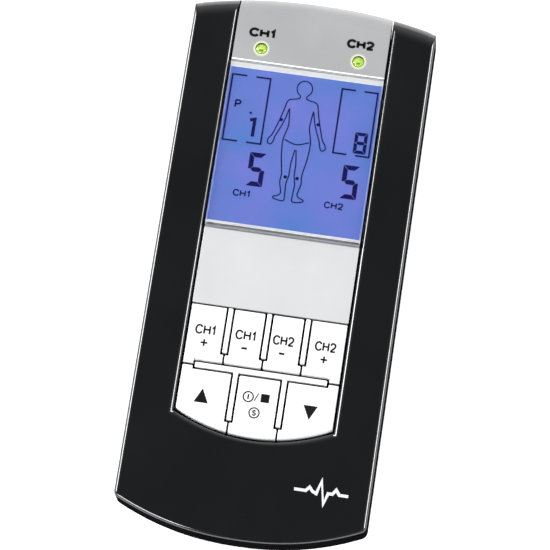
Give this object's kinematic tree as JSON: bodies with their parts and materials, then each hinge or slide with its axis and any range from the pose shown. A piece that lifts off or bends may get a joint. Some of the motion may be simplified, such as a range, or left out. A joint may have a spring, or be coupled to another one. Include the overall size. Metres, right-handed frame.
{
  "type": "tens unit",
  "caption": "Hand-held two-channel nerve and muscle stimulator with a back-lit display, a keypad, a sliding battery door and a sprung belt clip.",
  "frame": {"origin": "under the middle of the unit's length and width, at the outer face of the belt clip, which is its lowest point as it lies on its back", "axes": "+X to the right of the face, +Y towards the end with the lead sockets, +Z out of the face"},
  "size_m": [0.06, 0.1332, 0.0313],
  "materials": {
    "black_gloss": "polished piano-black moulding",
    "black_matte": "fine spark-eroded texture",
    "silver_plastic": "satin silver paint on plastic",
    "fascia_plastic": "pale satin silver-white",
    "key_white": "smooth white with dark grey print",
    "clear_lens": "clear polished acrylic",
    "display_blue": "back-lit blue liquid-crystal cell",
    "white_plastic": "milky white",
    "led_green": "tinted clear epoxy, yellow-green",
    "board_green": "solder mask",
    "conductive_rubber": "layered silicone",
    "ferrite": "sintered dark grey",
    "cell_label": "foil label",
    "spring_steel": "bright nickel plate",
    "screw_steel": "zinc plate"
  },
  "bodies": {
    "case": {"backlight_panel": "white_plastic", "battery_spring_left": "spring_steel", "battery_spring_middle": "spring_steel", "battery_spring_right": "spring_steel", "board_screw_left": "screw_steel", "board_screw_right": "screw_steel", "buzzer": "black_matte", "case_screw_bottom_left": "screw_steel", "case_screw_bottom_right": "screw_steel", "case_screw_top_left": "screw_steel", "case_screw_top_right": "screw_steel", "cell_left": "cell_label", "cell_middle": "cell_label", "cell_right": "cell_label", "clip_pin": "screw_steel", "clip_spring": "spring_steel", "contact_left": "spring_steel", "contact_middle": "spring_steel", "contact_right": "spring_steel", "display_lens": "clear_lens", "front_case": "black_gloss", "jack_end_cap": "silver_plastic", "key_frame": "key_white", "lcd_glass": "display_blue", "lcd_holder": "white_plastic", "led_ch1": "led_green", "led_ch2": "led_green", "main_pcb": "board_green", "microcontroller_chip": "black_matte", "output_jack_ch1": "black_matte", "output_jack_ch2": "black_matte", "output_transformer_ch1": "ferrite", "output_transformer_ch2": "ferrite", "rear_case": "black_matte", "silver_fascia": "fascia_plastic", "switch_ch1_minus": "black_matte", "switch_ch1_plus": "black_matte", "switch_ch2_minus": "black_matte", "switch_ch2_plus": "black_matte", "switch_down": "black_matte", "switch_power_select": "black_matte", "switch_up": "black_matte", "zebra_strip_lower": "conductive_rubber", "zebra_strip_upper": "conductive_rubber"},
    "battery_door": {"battery_door": "black_matte"},
    "belt_clip": {"belt_clip": "black_matte"},
    "key_ch1_plus": {"key_ch1_plus": "key_white", "plunger_ch1_plus": "black_matte"},
    "key_ch1_minus": {"key_ch1_minus": "key_white", "plunger_ch1_minus": "black_matte"},
    "key_ch2_minus": {"key_ch2_minus": "key_white", "plunger_ch2_minus": "black_matte"},
    "key_ch2_plus": {"key_ch2_plus": "key_white", "plunger_ch2_plus": "black_matte"},
    "key_up": {"key_up": "key_white", "plunger_up": "black_matte"},
    "key_power_select": {"key_power_select": "key_white", "plunger_power_select": "black_matte"},
    "key_down": {"key_down": "key_white", "plunger_down": "black_matte"}
  },
  "joints": [
    {"name": "ch1_plus_press", "type": "slide", "parent": "case", "child": "key_ch1_plus", "axis": [0, 0, -1], "range_m": [0, 0.0005], "stiffness_N_per_m": 180, "springref_m": -0.001},
    {"name": "ch1_minus_press", "type": "slide", "parent": "case", "child": "key_ch1_minus", "axis": [0, 0, -1], "range_m": [0, 0.0005], "stiffness_N_per_m": 180, "springref_m": -0.001},
    {"name": "ch2_minus_press", "type": "slide", "parent": "case", "child": "key_ch2_minus", "axis": [0, 0, -1], "range_m": [0, 0.0005], "stiffness_N_per_m": 180, "springref_m": -0.001},
    {"name": "ch2_plus_press", "type": "slide", "parent": "case", "child": "key_ch2_plus", "axis": [0, 0, -1], "range_m": [0, 0.0005], "stiffness_N_per_m": 180, "springref_m": -0.001},
    {"name": "up_press", "type": "slide", "parent": "case", "child": "key_up", "axis": [0, 0, -1], "range_m": [0, 0.0005], "stiffness_N_per_m": 180, "springref_m": -0.001},
    {"name": "power_select_press", "type": "slide", "parent": "case", "child": "key_power_select", "axis": [0, 0, -1], "range_m": [0, 0.0005], "stiffness_N_per_m": 180, "springref_m": -0.001},
    {"name": "down_press", "type": "slide", "parent": "case", "child": "key_down", "axis": [0, 0, -1], "range_m": [0, 0.0005], "stiffness_N_per_m": 180, "springref_m": -0.001},
    {"name": "battery_door_slide", "type": "slide", "parent": "case", "child": "battery_door", "axis": [0, -1, 0], "range_m": [0, 0.063]},
    {"name": "belt_clip_hinge", "type": "hinge", "parent": "case", "child": "belt_clip", "pos_m": [0, 0.024, 0.0046], "axis": [1, 0, 0], "range_deg": [0, 12], "stiffness_Nm_per_rad": 0.2, "springref_deg": -34.38}
  ]
}
